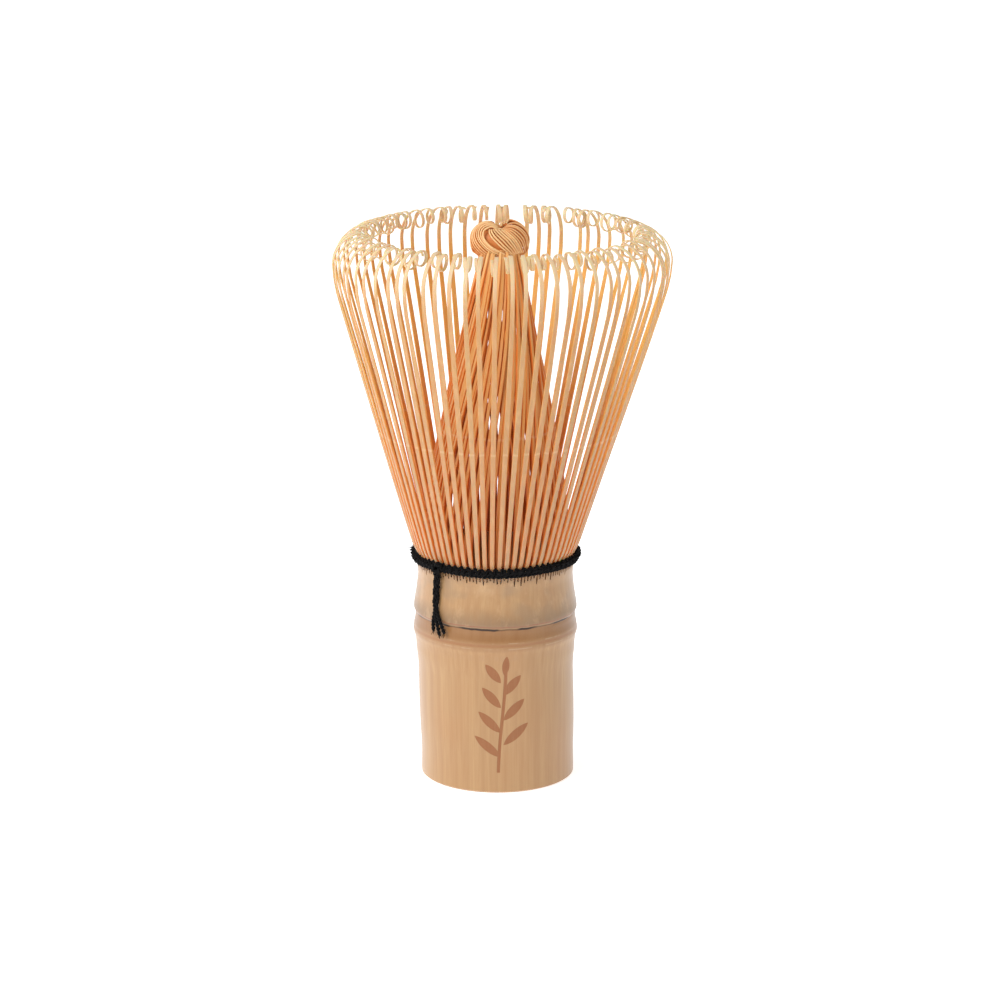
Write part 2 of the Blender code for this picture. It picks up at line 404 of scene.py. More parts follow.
bark_finish, bark_shader, bark_place = new_finish("bamboo_bark", specular=0.5, coat=0.20,
                                                  coat_roughness=0.30)
bark_shader.inputs["Sheen Weight"].default_value = 0.35
bark_shader.inputs["Sheen Roughness"].default_value = 0.35
height = bark_place.axis(2) * 1000.0
across_front = bark_place.axis(0) * 1000.0
depth_front = bark_place.axis(1) * 1000.0
from_axis = bark_place.stored("reach")
fibres = bark_place.noise(3600.0, (1.0, 1.0, 0.022), 4.0, 0.6)
streaks = bark_place.noise(1100.0, (1.0, 1.0, 0.030), 3.0, 0.5)
clouds = bark_place.noise(110.0, (1.0, 1.0, 0.55), 3.0, 0.55)
mottle = bark_place.noise(300.0, (1.0, 1.0, 0.55), 4.0, 0.65)
blotches = bark_place.noise(150.0, (1.0, 1.0, 1.3), 2.0, 0.5)
colour = streaks.rise(0.30, 0.72).mix(BARK_PALE, BARK_GOLD)
colour = (fibres.rise(0.38, 0.72) * 0.45).mix(colour, BARK_FIBRE)
colour = (clouds.rise(0.42, 0.72) * 0.40).mix(colour, BARK_CLOUD)

# smoky mottling above the scar, darkest just over it
above_scar = height.rise(30.9, 31.5)
shoulder = above_scar * (1.0 - (height + blotches * 2.6).rise(32.8, 36.4))
colour = (shoulder * (0.45 + streaks * 0.7)).math("MINIMUM", 1.0).mix(colour, SMOKED_BROWN)
colour = (above_scar * blotches.rise(0.50, 0.66) * 0.42).mix(colour, STAIN_GREY)
colour = (above_scar * mottle.rise(0.52, 0.68) * 0.30).mix(colour, RUBBED_SPOT)

# the red-brown band between the ledge and the scar, and the fine lines and scratches along the ledge
node_band = (height + (blotches - 0.5) * 0.8).rise(27.5, 29.3) * (1.0 - height.rise(30.9, 31.3))
node_stain = (node_band * (0.25 + clouds * 0.7 + streaks * 0.45)).math("MINIMUM", 0.95)
colour = node_stain.mix(colour, NODE_BROWN)
ledge = height + (clouds - 0.5) * 0.3
ledge_line = (ledge.band(LEDGE_HEIGHT, 0.12, 0.25) * (0.40 + streaks * 0.8)).math("MINIMUM", 1.0)
colour = ledge_line.mix(colour, LEDGE_BROWN)
lower_scratch = ledge.band(LEDGE_HEIGHT - 0.6, 0.03, 0.12) * mottle.rise(0.42, 0.58) * 0.35
colour = lower_scratch.mix(colour, PALE_SCRATCH)
upper_scratch = ledge.band(LEDGE_HEIGHT + 0.45, 0.02, 0.10) * mottle.rise(0.48, 0.62) * 0.30
colour = upper_scratch.mix(colour, UPPER_SCRATCH)
# painted shade: the crest of the ledge, which stands out into the light from above, is darkened
colour = (height.band(27.7, 0.45, 0.7) * 0.45).mix(colour, LEDGE_CREST_SHADE)
colour = (height.band(25.6, 0.2, 0.6) * streaks.rise(0.45, 0.62) * 0.35).mix(colour, FAINT_RING)

# the black scar, broken here and there, with a red line just above it
wander = height + (clouds - 0.5) * 0.9 + (mottle - 0.5) * 0.35
red_line = wander.band(SCAR_HEIGHT + 0.52, 0.05, 0.13)
colour = (red_line * (0.3 + mottle * 0.7)).mix(colour, SCAR_RED)
broken = blotches.rise(0.44, 0.54)
scar = wander.band(SCAR_HEIGHT, 0.05 + broken * 0.06, 0.16) * (0.55 + broken * 0.45)
colour = scar.mix(colour, SCAR_BLACK)

# darker streaks on the bark just below the thread, the bare flesh of the bore, and painted shade in the
# splits: their walls are painted dark brown
colour = (height.rise(38.9, 40.5) * (0.15 + streaks * 0.6)).mix(colour, DARKER_UNDER_THREAD)
inside = 1.0 - from_axis.rise(BARK_FROM, 13.55)
colour = (inside * 0.8).mix(colour, BARE_FLESH)
split_shade = (1.0 - from_axis.rise(13.80, 14.05)) * height.rise(38.6, 39.4) * from_axis.rise(BARK_FROM, 13.4)
colour = (split_shade * 0.92).mix(colour, SPLIT_SHADE_BROWN)

# the burnt sprig on the front: a bowed stem with leaves to either side of it
SPRIG_FOOT = (0.4, 3.4)
SPRIG_LEAVES = 7
stem_x = across_front - (SPRIG_FOOT[0] + ((height - 14.0) * 0.14).math("SINE") * 0.7)
sprig = stem_x.band(0.0, 0.22, 0.14) * height.band(13.6, 9.6, 0.2)
for leaf_number in range(SPRIG_LEAVES):
    side = 1 if leaf_number % 2 else -1
    leaf_foot = (SPRIG_FOOT[0] + 0.2 * side, SPRIG_FOOT[1] + 3.4 + 2.35 * leaf_number)
    pointing = 90.0 - side * (50.0 - 2.0 * leaf_number)
    leaf_length = 6.3 - 0.28 * leaf_number
    sprig = sprig.math("MAXIMUM", leaf(across_front, height, leaf_foot, pointing, leaf_length, 1.75))
top_leaf = leaf(across_front, height, (SPRIG_FOOT[0] + 0.45, 22.2), 84.0, 3.9, 1.4)
sprig = sprig.math("MAXIMUM", top_leaf)
sprig = sprig * (1.0 - depth_front.rise(-6.0, -4.0)) * from_axis.rise(BARK_FROM, 13.5)
scorch = sprig * (0.75 + fibres * 0.40)
colour = scorch.math("MINIMUM", 1.0).mix(colour, SCORCHED)
rough = 0.34 + fibres * 0.12 + inside * 0.3 + sprig * 0.18 + shoulder * 0.08 + scar * 0.4
relief = fibres * 0.35 + streaks * 0.25 - sprig * 1.6 - scar * 1.0
finish_with(bark_shader, colour, rough, relief, 0.10 * MM, 0.35)
culm.data.materials.append(bark_finish)
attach(culm, "culm")
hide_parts("handle")

# ---------------------------------------------------------------------------------------------------
# The outer tines. Every second tine split from the culm is bent outwards and shaved thinner towards its tip,
# and the tip is curled inwards over a hot iron, each a little differently.
TINES_PER_SPLIT = 4
SPLITS = 18
ROOT_HEIGHT = 40.9
PIVOT = (14.0, 41.0)
SHOULDER_RADIUS = 6.05
SHOULDER_HEIGHT = 95.15
ROUTE_ROWS = 21
SHOULDER_STEPS = 12
CURL_STEPS = 24
CURL_PATTERNS = 10
# how far each tine is set back or forth, sideways, and turned on itself, in radians
SETTLING = (0.0032, 0.0045, 0.025)

# tine colours
PALE_STREAK = (0.80, 0.55, 0.30)
DARK_FIBRE = (0.60, 0.20, 0.040)
WARM_TONE_AND_GROOVE_SHADE = (0.66, 0.205, 0.036)
SCORED_PALE = (0.85, 0.66, 0.42)


def share_between(value, low, high):
    return min(1.0, max(0.0, (value - low) / (high - low)))


def flare_radius(height):
    """Distance of an outer tine's bark side from the axis, above the binding."""
    rise = height - 43.8
    bow = max(0.0, height - 89.0)
    return 15.27 + 0.318 * rise - 0.00022 * rise * rise - 0.021 * bow * bow


def tine_thickness(height):
    return 0.66 - 0.44 * share_between(height, 42.0, 88.0) ** 0.8


def tine_width(height):
    """A tine is split narrow at the root, is widest past its middle, and narrows again to its tip."""
    return 0.73 + 0.30 * share_between(height, 42.0, 86.0) ** 0.7 - 0.28 * share_between(height, 74.0, 94.0)


def outer_tine_route():
    """The tine's middle line from its root to the start of the shoulder, as (radius, height)."""
    route = [(13.75, ROOT_HEIGHT), (13.95, 41.7), (14.35, 42.6), (14.72, 43.3)]
    for row in range(ROUTE_ROWS + 1):
        height = 44.4 + (SHOULDER_HEIGHT - 44.4) * row / ROUTE_ROWS
        route.append((flare_radius(height) - tine_thickness(height) / 2, height))
    return route


def stretch_tine(start, finish):
    """Extrudes the tine's end face from one (radius, height) to the next and shaves it to its new size."""
    bpy.ops.mesh.extrude_region_move(TRANSFORM_OT_translate={
        "value": ((finish[0] - start[0]) * MM, 0.0, (finish[1] - start[1]) * MM)})
    thin = tine_thickness(finish[1]) / tine_thickness(start[1])
    wide = tine_width(finish[1]) / tine_width(start[1])
    bpy.ops.transform.resize(value=(thin, wide, 1.0), center_override=(finish[0] * MM, 0.0, finish[1] * MM))


def roll_tip(centre, degrees, steps, sideways, tighten, narrow):
    """Rolls the tip round a centre in small steps, drifting sideways and closing in as it goes."""
    for _ in range(steps):
        bpy.ops.mesh.spin(steps=1, angle=math.radians(degrees / steps), center=centre, axis=(0.0, 1.0, 0.0))
        bpy.ops.transform.translate(value=(0.0, sideways * MM / steps, 0.0))
        bpy.ops.transform.resize(value=(tighten, narrow, tighten), center_override=centre)


def round_edges(tine, width):
    """Takes the sharp edges off a carved tine."""
    rounding = tine.modifiers.new("rounding", "BEVEL")
    rounding.width = width * MM
    rounding.segments = 1
    rounding.limit_method = "ANGLE"
    rounding.angle_limit = math.radians(50.0)
    bpy.ops.object.modifier_apply(modifier="rounding")
    bpy.ops.object.shade_smooth_by_angle(angle=math.radians(30.0))


def start_tine(name, root, thickness, width):
    """A stub of a tine on the x axis, its root given as (distance, height), with its upper end selected."""
    bpy.ops.object.select_all(action="DESELECT")
    bpy.ops.mesh.primitive_cube_add(size=1.0 * MM, location=(root[0] * MM, 0.0, (root[1] - 0.5) * MM))
    tine = start_piece(name)
    bpy.ops.transform.resize(value=(thickness, width, 1.0), center_override=(root[0] * MM, 0.0, root[1] * MM))
    pick_faces(tine, lambda centre, normal: normal.z > 0.9)
    return tine


def carve_outer_tine(name, curl_radius, curl_degrees, sideways, shoulder_degrees):
    """One tine on the x axis, drawn up from its root, bent in at the shoulder and curled at the tip."""
    route = outer_tine_route()
    tine = start_tine(name, route[0], tine_thickness(ROOT_HEIGHT), tine_width(ROOT_HEIGHT))
    for start, finish in zip(route, route[1:]):
        stretch_tine(start, finish)
    shoulder_centre = ((route[-1][0] - SHOULDER_RADIUS) * MM, 0.0, SHOULDER_HEIGHT * MM)
    roll_tip(shoulder_centre, shoulder_degrees, SHOULDER_STEPS, sideways * 0.10, 1.0, 0.996)
    bm = bmesh.from_edit_mesh(tine.data)
    tip = sum((vert.co for vert in bm.verts if vert.select), Vector()) / 4
    inward = (tip - Vector(shoulder_centre)).normalized()
    curl_centre = tip - inward * curl_radius * MM
    roll_tip((curl_centre.x, tip.y, curl_centre.z), curl_degrees, CURL_STEPS, sideways, 0.991, 0.990)
    bpy.ops.object.mode_set(mode="OBJECT")
    round_edges(tine, 0.07)
    return tine


tip_seed = random.Random(5)
patterns = []
for pattern_number in range(CURL_PATTERNS):
    patterns.append(carve_outer_tine(
        f"tine_pattern_{pattern_number}", tip_seed.uniform(1.40, 1.75), tip_seed.uniform(330.0, 470.0),
        tip_seed.choice((-1, -1, 1)) * tip_seed.uniform(0.75, 1.25), tip_seed.uniform(66.0, 84.0)))


def tint(piece, value):
    """Stores how dark or warm this one strip of bamboo is, for its material to read. On the knot it also
    holds painted shade.
    """
    tone = piece.data.attributes.new("tone", "FLOAT", "POINT")
    for element in tone.data:
        element.value = value


def set_copy(pattern, name, turn, settling, tone):
    """A copy of a pattern with its own mesh, turned to its place round the culm and settled at its root."""
    copy = pattern.copy()
    copy.data = pattern.data.copy()
    copy.name = name
    bpy.context.scene.collection.objects.link(copy)
    root = Vector((PIVOT[0] * MM, 0.0, PIVOT[1] * MM))
    settle = (Matrix.Rotation(turn, 4, "Z") @ Matrix.Translation(root)
              @ Matrix.Rotation(settling[0], 4, "Y") @ Matrix.Rotation(settling[1], 4, "X")
              @ Matrix.Rotation(settling[2], 4, "Z") @ Matrix.Translation(-root))
    copy.data.transform(settle)
    tint(copy, tone)
    return copy


def join_pieces(pieces, name):
    bpy.ops.object.select_all(action="DESELECT")
    for piece in pieces:
        piece.select_set(True)
    bpy.context.view_layer.objects.active = pieces[0]
    bpy.ops.object.join()
    pieces[0].name = name
    pieces[0].data.name = name
    return pieces[0]


def shaved_bamboo(name, raw, skin, skin_facing, tip, tip_low, tip_high, glow):
    """Split bamboo: raw flesh and skin each go from a root colour to a top colour, and the tip pales."""
    finish, shader, place = new_finish(name, specular=0.4, glow=glow)
    height = place.axis(2) * 1000.0
    tone = place.stored("tone")
    normal = place.node("ShaderNodeNewGeometry", None, 1)
    outward = place.node("ShaderNodeVectorMath", {"operation": "MULTIPLY"}, n0=place, n1=(1.0, 1.0, 0.0))
    outward = outward.node("ShaderNodeVectorMath", {"operation": "NORMALIZE"}, n0=outward)
    facing = outward.node("ShaderNodeVectorMath", {"operation": "DOT_PRODUCT"}, 1, n0=outward, n1=normal)
    fibres = place.noise(4200.0, (1.0, 1.0, 0.03), 3.0, 0.6)
    streaks = place.noise(1300.0, (1.0, 1.0, 0.03), 2.0, 0.5)
    climb = height.rise(44.0, 86.0)
    colour = facing.rise(*skin_facing).mix(climb.mix(*raw), climb.mix(*skin))
    colour = (streaks.rise(0.40, 0.75) * 0.22).mix(colour, PALE_STREAK)
    colour = (fibres.rise(0.42, 0.75) * (0.30 - climb * 0.14)).mix(colour, DARK_FIBRE)
    colour = height.rise(tip_low, tip_high).mix(colour, tip)
    # each strip's own warmer tone, which differs at random; on the knot this also paints shade into the
    # grooves between its strands
    colour = (tone * (0.30 - climb * 0.10)).mix(colour, WARM_TONE_AND_GROOVE_SHADE)
    score_line = (height + (streaks - 0.5) * 0.8).band(65.0, 0.10, 0.22)
    colour = (score_line * 0.18).mix(colour, SCORED_PALE)
    finish_with(shader, colour, 0.42 + fibres * 0.18, fibres * 0.6 + streaks * 0.3, 0.03 * MM, 0.35)
    return finish


tine_finish = shaved_bamboo("shaved_bamboo", raw=((0.800, 0.245, 0.036), (0.760, 0.440, 0.100)),
                            skin=((0.455, 0.295, 0.165), (0.495, 0.310, 0.140)), skin_facing=(0.45, 0.80),
                            tip=(0.75, 0.63, 0.39), tip_low=90.0, tip_high=101.0, glow=0.35)
settle_seed = random.Random(23)
for split in range(SPLITS):
    group = []
    for tine in range(TINES_PER_SPLIT):
        turn = math.tau / SPLITS * split + TINE_PITCH * (tine + 0.5)
        settling = [settle_seed.gauss(0.0, amount) for amount in SETTLING]
        pattern = patterns[settle_seed.randrange(len(patterns))]
        group.append(set_copy(pattern, f"tine_{split}_{tine}", turn, settling, settle_seed.random()))
    spray = join_pieces(group, f"curled_tines_{split + 1:02d}")
    lean(spray)
    spray.data.materials.append(tine_finish)
    middle = math.tau / SPLITS * (split + 0.5)
    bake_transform(spray)
    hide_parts(f"outer_tines_{split + 1:02d}")
for pattern in patterns:
    bpy.data.objects.remove(pattern, do_unlink=True)

# ---------------------------------------------------------------------------------------------------
# The inner tines. Those left between the outer ones are gathered to the middle, turned a little round one
# another, and pressed together below the knot. They are uncurled, and keep their full thickness.
GATHER = [(13.15, ROOT_HEIGHT), (13.2, 43.0), (13.0, 47.0), (12.45, 52.0), (11.6, 58.0), (10.2, 65.5),
          (8.7, 73.5), (6.95, 81.7), (5.1, 90.5), (4.0, 95.0), (3.2, 98.0)]
INNER_THICKNESS = 0.62
# each pattern's (tuck, tilt): how far its top goes in under the others, and how far the strip turns on
# itself
INNER_PATTERNS = [(0.0, 22.0), (0.3, -16.0), (0.5, 30.0), (0.9, -26.0), (1.2, 18.0), (1.6, 34.0)]
GATHER_TWIST = 34.0
GATHER_TONE = 1.9
BUNDLE_BOW = 0.80


def inner_width(height):
    return 0.62 + 0.02 * share_between(height, 50.0, 68.0) - 0.20 * share_between(height, 78.0, 98.0)


def carve_inner_tine(name, tuck, tilt):
    """One gathered tine on the x axis, drawn up from its root and turning on itself as it rises."""
    route = []
    for radius, height in smooth_outline(GATHER, 2.4):
        route.append((radius - tuck * eased((height - 55.0) / 43.0), height))
    tine = start_tine(name, route[0], INNER_THICKNESS, inner_width(ROOT_HEIGHT))
    for start, finish in zip(route, route[1:]):
        bpy.ops.mesh.extrude_region_move(TRANSFORM_OT_translate={
            "value": ((finish[0] - start[0]) * MM, 0.0, (finish[1] - start[1]) * MM)})
        wide = inner_width(finish[1]) / inner_width(start[1])
        place = (finish[0] * MM, 0.0, finish[1] * MM)
        turn = math.radians(tilt / len(route))
        bpy.ops.transform.resize(value=(0.985, wide, 1.0), center_override=place)
        bpy.ops.transform.rotate(value=turn, orient_axis="Z", center_override=place)
    bpy.ops.object.mode_set(mode="OBJECT")
    round_edges(tine, 0.08)
    return tine


def twist_round(piece, degrees, wobble):
    """Turns the strip about the axis more and more towards its top."""
    for vert in piece.data.vertices:
        share = max(0.0, (vert.co.z / MM - 46.0) / 52.0)
        angle = math.radians(degrees) * share ** 1.5 + wobble * math.sin(share * 7.0 + wobble * 90.0)
        vert.co.xy = Matrix.Rotation(angle, 2) @ vert.co.xy


inner_patterns = []
for pattern_number, (tuck, tilt) in enumerate(INNER_PATTERNS):
    inner_patterns.append(carve_inner_tine(f"inner_pattern_{pattern_number}", tuck, tilt))
gathered_finish = shaved_bamboo("gathered_bamboo", raw=((0.780, 0.175, 0.018), (0.780, 0.205, 0.024)),
                                skin=((0.640, 0.275, 0.070), (0.715, 0.355, 0.104)), skin_facing=(0.70, 0.95),
                                tip=(0.810, 0.470, 0.180), tip_low=93.0, tip_high=98.0, glow=0.06)
gather_seed = random.Random(31)
for split in range(SPLITS):
    group = []
    for tine in range(TINES_PER_SPLIT):
        turn = math.tau / SPLITS * split + TINE_PITCH * tine
        pattern = inner_patterns[gather_seed.randrange(len(inner_patterns))]
        tone = gather_seed.random() * GATHER_TONE
        strip = set_copy(pattern, f"inner_{split}_{tine}", turn, (0.0, 0.0, 0.0), tone)
        twist_round(strip, GATHER_TWIST + gather_seed.uniform(-3.0, 3.0), gather_seed.uniform(-0.03, 0.03))
        group.append(strip)
    sheaf = join_pieces(group, f"gathered_tines_{split + 1:02d}")
    lean(sheaf, top=BUNDLE_BOW)
    sheaf.data.materials.append(gathered_finish)
    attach(sheaf, "culm")
    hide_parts(f"inner_tines_{split + 1:02d}")
for pattern in inner_patterns:
    bpy.data.objects.remove(pattern, do_unlink=True)

# ---------------------------------------------------------------------------------------------------
# The knot. The ends of the inner tines are soaked, twisted into a rope, wound once round on itself and
# tucked in, so that the top of the bundle is a tight bun of strands.
KNOT_MIDDLE = Vector((0.0, 0.0, 99.3))
STRAND_RADIUS = 0.195
# strands of one half of the knot, as (across, up) in millimetres from its middle: those that turn round the
# eye of the left lobe, from the innermost outwards, and those that sweep down over the right lobe
EYE_STRANDS = [
    [(-0.4, 2.2), (-1.3, 2.7), (-2.1, 2.5), (-2.8, 2.0), (-2.9, 1.1),
     (-2.5, 0.3), (-1.6, -0.6), (-0.5, -1.3), (1.0, -2.2)],
    [(-0.2, 2.4), (-1.3, 3.0), (-2.5, 3.0), (-3.5, 2.3), (-3.8, 1.3),
     (-3.4, 0.3), (-2.4, -0.8), (-1.3, -1.6), (0.2, -2.4)],
    [(-0.4, 2.7), (-2.0, 3.3), (-3.4, 2.8), (-4.3, 1.9), (-4.6, 0.9),
     (-4.2, -0.2), (-3.2, -1.4), (-1.8, -2.5), (-0.6, -3.2)],
    [(-1.7, 3.3), (-2.9, 3.1), (-4.1, 2.3), (-4.9, 1.3), (-5.1, 0.1),
     (-4.8, -1.1), (-4.0, -2.1), (-2.9, -2.8), (-1.7, -3.3)],
]
SWEPT_STRANDS = [
    [(-1.8, 2.2), (-1.8, 1.8), (-1.5, 1.2), (-1.0, 0.6), (-0.4, 0.0),
     (0.3, -0.7), (1.0, -1.3), (1.6, -1.9), (2.3, -2.5)],
    [(-0.6, 2.3), (-0.2, 2.0), (0.4, 1.5), (1.1, 1.0), (1.7, 0.5),
     (2.2, -0.2), (2.7, -0.9), (3.0, -1.7), (3.3, -2.5)],
    [(0.4, 2.1), (1.2, 2.1), (2.1, 2.0), (2.8, 1.5), (3.4, 0.9),
     (3.9, 0.2), (4.2, -0.7), (4.4, -1.6), (4.5, -2.3)],
    [(0.8, 2.2), (1.6, 2.5), (2.6, 2.5), (3.4, 2.1), (4.1, 1.4),
     (4.6, 0.6), (4.8, -0.5), (4.9, -1.4), (4.8, -2.2)],
    [(1.1, 2.4), (1.9, 2.9), (2.8, 3.0), (3.8, 2.5), (4.5, 1.9),
     (5.0, 1.1), (5.2, 0.1), (5.1, -0.9), (4.9, -1.9)],
]
# how far through those rows each strand is laid
EYE_SHARES = (0.0, 0.45, 0.9, 1.3, 1.75, 2.15, 2.6, 3.0)
SWEPT_SHARES = (0.0, 0.28, 0.56, 0.83, 1.08, 1.3, 1.52, 1.75, 2.0, 2.45, 2.95, 3.45, 4.0)
HEART_SIZE = (4.55, 3.3, 2.75)
HEART_PAINTED_SHADE = 4.6
TURNED_IN_PAINTED_SHADE = 5.0


def add_tube(name, points, radius, sides=2):
    """A round strand through the points, in millimetres, made a mesh."""
    curve = bpy.data.curves.new(name, "CURVE")
    curve.dimensions = "3D"
    curve.bevel_depth = radius * MM
    curve.bevel_resolution = sides
    curve.use_fill_caps = True
    spline = curve.splines.new("POLY")
    spline.points.add(len(points) - 1)
    for knot, point in zip(spline.points, points):
        knot.co = (*(Vector(point) * MM), 1.0)
    strand = bpy.data.objects.new(name, curve)
    bpy.context.scene.collection.objects.link(strand)
    bpy.ops.object.select_all(action="DESELECT")
    strand.select_set(True)
    bpy.context.view_layer.objects.active = strand
    bpy.ops.object.convert(target="MESH")
    strand = bpy.context.object
    strand.data.shade_smooth()
    return strand


def bun_depth(across, up):
    """How far in front of the knot's middle its surface is. Two lobes have a dip between them."""
    top = 3.80 - 1.55 * math.exp(-((across - 0.55) / 1.45) ** 2)
    half_height = top if up > 0.0 else 3.30
    return 3.9 * math.sqrt(max(0.02, 1.0 - (across / 5.2) ** 2 - (up / half_height) ** 2))


def shade_strand(strand, value):
    """A strand has its own tone, with painted shade, warmer and darker, where it turns in against its
    neighbours.
    """
    tint(strand, value)
    for vert, own in zip(strand.data.vertices, strand.data.attributes["tone"].data):
        away = (vert.co - KNOT_MIDDLE * MM).normalized()
        own.value = value + TURNED_IN_PAINTED_SHADE * (1.0 - max(0.0, vert.normal.dot(away)))


def lay_strands(rows, shares, half_turn, prefix, seed):
    """Lays strands side by side over the bun, each at its share of the way through the given ones."""
    laid = []
    for number, share in enumerate(shares):
        low = min(int(share), len(rows) - 2)
        lift = seed.uniform(-0.26, 0.12)
        points = []
        for start, finish in zip(rows[low], rows[low + 1]):
            flat = Vector(start).lerp(Vector(finish), share - low)
            points.append(Vector((flat.x, -bun_depth(flat.x, flat.y) - lift, flat.y)))
        first, last = points[0], points[-1]
        points.insert(0, first + Vector((0.25 * (0.6 - first.x), 1.5, -0.45)))
        points.append(Vector((last.x * 0.80, last.y * 0.72, last.z - 0.7)))
        points.append(Vector((last.x * 0.60, last.y * 0.55, -4.6)))
        if half_turn:
            points = [Vector((-point.x, -point.y, point.z)) for point in points]
        path = smooth_outline([point + KNOT_MIDDLE for point in points], 0.45)
        strand = add_tube(f"{prefix}_{number}", path, STRAND_RADIUS * seed.uniform(0.80, 1.12))
        shade_strand(strand, seed.random() ** 2 * 1.6)
        laid.append(strand)
    return laid


knot_seed = random.Random(41)
bpy.ops.object.select_all(action="DESELECT")
bpy.ops.mesh.primitive_uv_sphere_add(segments=32, ring_count=20, radius=1.0 * MM, location=(0.0, 0.0, 0.0))
heart = start_piece("knot_heart")
bpy.ops.transform.resize(value=HEART_SIZE, center_override=(0.0, 0.0, 0.0))
bpy.ops.transform.translate(value=KNOT_MIDDLE * MM)
bpy.ops.object.mode_set(mode="OBJECT")
for vert in heart.data.vertices:
    across = vert.co.x / MM
    above = vert.co.z - KNOT_MIDDLE.z * MM
    stretched = 1.0 - 0.34 * math.exp(-(across / 1.5) ** 2) if above > 0.0 else 1.22
    vert.co.z = KNOT_MIDDLE.z * MM + above * stretched
heart.data.shade_smooth()
# painted shade: the heart is painted deep orange, and shows only in the gaps between the strands
tint(heart, HEART_PAINTED_SHADE)
strands = [heart]
for half_turn in (False, True):
    side = "back" if half_turn else "front"
    strands += lay_strands(SWEPT_STRANDS, SWEPT_SHARES, half_turn, f"swept_{side}", knot_seed)
    strands += lay_strands(EYE_STRANDS, EYE_SHARES, half_turn, f"eye_{side}", knot_seed)
knot = join_pieces(strands[::-1], "tied_knot")
lean(knot, top=BUNDLE_BOW)
knotted_finish = shaved_bamboo("knotted_bamboo", raw=((0.850, 0.215, 0.026), (0.850, 0.250, 0.034)),
                               skin=((0.720, 0.320, 0.090), (0.800, 0.415, 0.130)), skin_facing=(0.70, 0.95),
                               tip=(0.880, 0.620, 0.305), tip_low=93.0, tip_high=95.5, glow=0.04)
knot.data.materials.append(knotted_finish)
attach(knot, "culm")
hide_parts("twist_knot")

# ---------------------------------------------------------------------------------------------------
# The binding. A black cotton thread of two plies is wound three times round the roots, its upper turn
# woven in and out between the outer tines, and its ends are tied off at the front left.
PLY_RADIUS = 0.20
LINT_HAIRS = 60
LINT_RADIUS = 0.028
DEEP_BLACK = (0.0015, 0.0015, 0.002)
FIBRE_BLACK = (0.010, 0.009, 0.009)
WORN_AND_SHEEN_BLACK = (0.018, 0.015, 0.014)


def spin_yarn(name, route, ply_radius, twist_length):
    """Two plies wound round each other along a route of points in millimetres."""
    plies = []
    lengths = [0.0]
    for start, finish in zip(route, route[1:]):
        lengths.append(lengths[-1] + (finish - start).length)
    total_turns = max(1, round(lengths[-1] / twist_length))
    for phase in (0.0, math.pi):
        points = []
        for i, point in enumerate(route):
            ahead = (route[min(i + 1, len(route) - 1)] - route[max(i - 1, 0)]).normalized()
            side = ahead.cross(Vector((point.x, point.y, 0.0)).normalized()).normalized()
            out = side.cross(ahead)
            angle = phase + math.tau * total_turns * lengths[i] / lengths[-1]
            points.append(point + (side * math.cos(angle) + out * math.sin(angle)) * ply_radius * 0.95)
        plies.append(add_tube(f"{name}_{phase:.0f}", points, ply_radius, 1))
    return plies


def ring_route(count, radius, height, weave_in, weave_up, phase=0.0):
    """One turn of the thread, going in and out, and up and down, from tine to tine."""
    route = []
    for i in range(count):
        angle = math.tau * i / count
        wave = math.cos(angle * math.tau / TINE_PITCH + phase)
        uneven = 0.72 + 0.28 * math.sin(angle * 13.0 + 2.0)
        rise = weave_up * wave * uneven + 0.09 * math.sin(angle * 5.0 + phase)
        distance = radius - weave_in * wave
        route.append(Vector((distance * math.cos(angle), distance * math.sin(angle), height + rise)))
    return route + [route[0]]


windings = spin_yarn("lower_turn", ring_route(400, 14.86, 41.02, 0.05, 0.03), PLY_RADIUS, 1.6)
windings += spin_yarn("middle_turn", ring_route(400, 14.98, 41.45, 0.08, 0.06, 1.0), PLY_RADIUS, 1.7)
windings += spin_yarn("woven_turn", ring_route(720, 14.86, 41.90, 0.38, 0.36), PLY_RADIUS, 1.6)
lint_seed = random.Random(77)
for hair in range(LINT_HAIRS):
    turned = math.radians(lint_seed.choice((lint_seed.uniform(150.0, 215.0), lint_seed.uniform(0.0, 360.0))))
    foot = Vector((15.1 * math.cos(turned), 15.1 * math.sin(turned), lint_seed.uniform(40.9, 42.3)))
    away = Vector((math.cos(turned), math.sin(turned), 0.0))
    stray = Vector([lint_seed.gauss(0.0, 0.45) for _ in range(3)])
    hair_path = [foot, foot + away * 0.45 + stray * 0.4, foot + away * 0.75 + stray]
    windings.append(add_tube(f"lint_{hair}", hair_path, LINT_RADIUS, 0))
binding = join_pieces(windings, "thread_binding")
lean(binding)

thread_finish, thread_shader, thread_place = new_finish("black_cotton", specular=0.16)
lint = thread_place.noise(9000.0, (1.0, 1.0, 1.0), 3.0, 0.6)
wear_and_sheen = thread_place.noise(1400.0, (1.0, 1.0, 1.0), 2.0, 0.5)
colour = lint.rise(0.35, 0.75).mix(DEEP_BLACK, FIBRE_BLACK)
# greyish worn patches, partly painted sheen that stands for the thread's glints
colour = (wear_and_sheen.rise(0.55, 0.75) * 0.35).mix(colour, WORN_AND_SHEEN_BLACK)
finish_with(thread_shader, colour, 0.80 + lint * 0.15, lint, 0.03 * MM, 0.6)


def finish_thread(piece, node):
    piece.data.materials.append(thread_finish)
    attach(piece, "culm")
    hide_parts(node)


finish_thread(binding, "binding_thread")

# ---------------------------------------------------------------------------------------------------
# The thread's knot. The two ends of the binding are crossed and pulled tight in an overhand knot that sits
# on the band at the front left.
THREAD_KNOT_AT = (math.radians(-132.2), 15.72, 41.75)
# each loop's width, height, tilt in radians, and how far it sinks in under the other
KNOT_LOOPS = [(0.95, 0.62, 0.5, 0.0), (0.70, 0.85, -0.7, 0.12)]
LOOP_STEPS = 40


def place_round(turned, distance, level):
    """A place given by its angle round the culm, its distance from the axis, and its height."""
    return Vector((distance * math.cos(turned), distance * math.sin(turned), level))


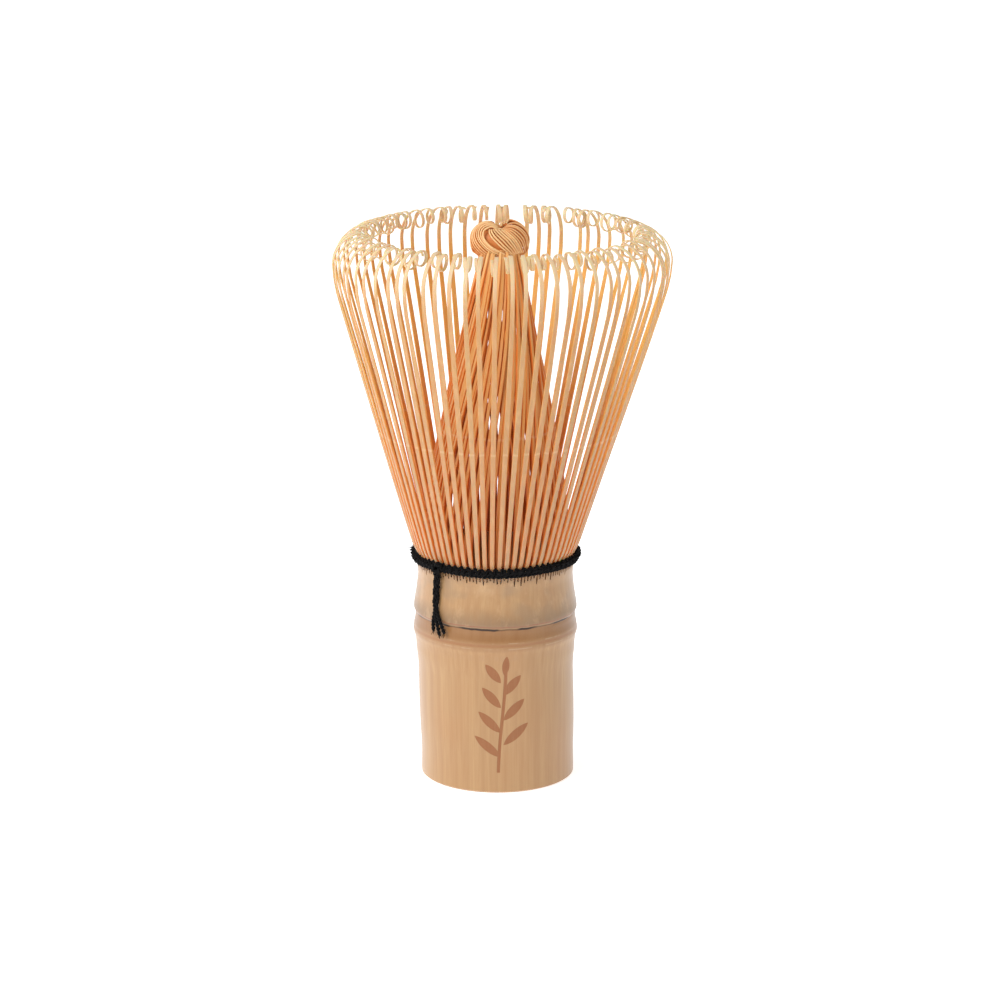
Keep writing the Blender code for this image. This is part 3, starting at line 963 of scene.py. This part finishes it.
turned, distance, level = THREAD_KNOT_AT
sideways = Vector((-math.sin(turned), math.cos(turned), 0.0))
outwards = Vector((math.cos(turned), math.sin(turned), 0.0))
tied = []
for loop, (width, height, tilt, sink) in enumerate(KNOT_LOOPS):
    route = []
    for step in range(LOOP_STEPS + 1):
        round_loop = math.tau * step / LOOP_STEPS
        across = math.cos(round_loop) * width
        up = math.sin(round_loop) * height
        over = 0.30 * math.sin(2.0 * round_loop + loop)
        route.append(place_round(turned, distance - sink, level)
                     + sideways * (across * math.cos(tilt) - up * math.sin(tilt))
                     + Vector((0.0, 0.0, across * math.sin(tilt) + up * math.cos(tilt))) + outwards * over)
    tied += spin_yarn(f"knot_loop_{loop}", route, 0.19, 1.5)
thread_tie = join_pieces(tied, "thread_tie")
lean(thread_tie)
finish_thread(thread_tie, "thread_knot")

# ---------------------------------------------------------------------------------------------------
# The thread's tails. Three cut ends hang from the knot, twist round one another for half their way down,
# and then part and fray a little.

# the tails' common middle line and their parted ends, as (degrees round the culm, distance, height)
TAIL_MIDDLE = [(-133.7, 15.25, 41.3), (-134.4, 15.02, 40.0), (-135.8, 14.78, 38.4), (-136.3, 14.74, 37.0),
               (-136.1, 14.85, 35.6), (-135.5, 15.02, 34.4)]
TAIL_ENDS = [[(-136.2, 15.18, 33.0), (-136.6, 15.35, 31.4), (-136.6, 15.30, 29.7)],
             [(-134.6, 15.30, 32.8), (-132.8, 15.42, 31.2), (-130.6, 15.36, 29.1)],
             [(-133.0, 15.22, 33.0), (-129.8, 15.42, 31.6), (-126.4, 15.38, 29.7)]]
TAIL_ROW = 0.3
TAIL_TURNS = 1.15
FRAY_FIBRES = 7
FRAY_RADIUS = 0.035


def places_round(rows):
    return [place_round(math.radians(degrees), distance, level) for degrees, distance, level in rows]


fray_seed = random.Random(9)
for tail in range(3):
    middle = smooth_outline(places_round(TAIL_MIDDLE), TAIL_ROW)
    route = []
    for i, point in enumerate(middle):
        share = i / (len(middle) - 1)
        phase = math.tau * (tail / 3.0 + TAIL_TURNS * share)
        spread = 0.40 + 0.30 * max(0.0, 1.0 - share / 0.35) ** 2
        out = Vector((point.x, point.y, 0.0)).normalized()
        along = Vector((-out.y, out.x, 0.0))
        route.append(point + along * (math.cos(phase) * spread) + out * (math.sin(phase) * 0.26))
    route = route[:-4] + smooth_outline([route[-4]] + places_round(TAIL_ENDS[tail]), TAIL_ROW)
    yarn = spin_yarn(f"tail_{tail}", route, 0.205, 1.45)
    foot = route[-2]
    for fibre in range(FRAY_FIBRES):
        splay = Vector([fray_seed.gauss(0.0, 0.14) for _ in range(3)])
        fibre_path = [foot, foot + splay * 0.5 + Vector((0.0, 0.0, -0.35)),
                      foot + splay * 1.3 + Vector((0.0, 0.0, -0.75))]
        yarn.append(add_tube(f"fray_{tail}_{fibre}", fibre_path, FRAY_RADIUS, 0))
    thread_end = join_pieces(yarn, f"thread_end_{tail + 1}")
    lean(thread_end)
    finish_thread(thread_end, f"thread_tail_{tail + 1}")
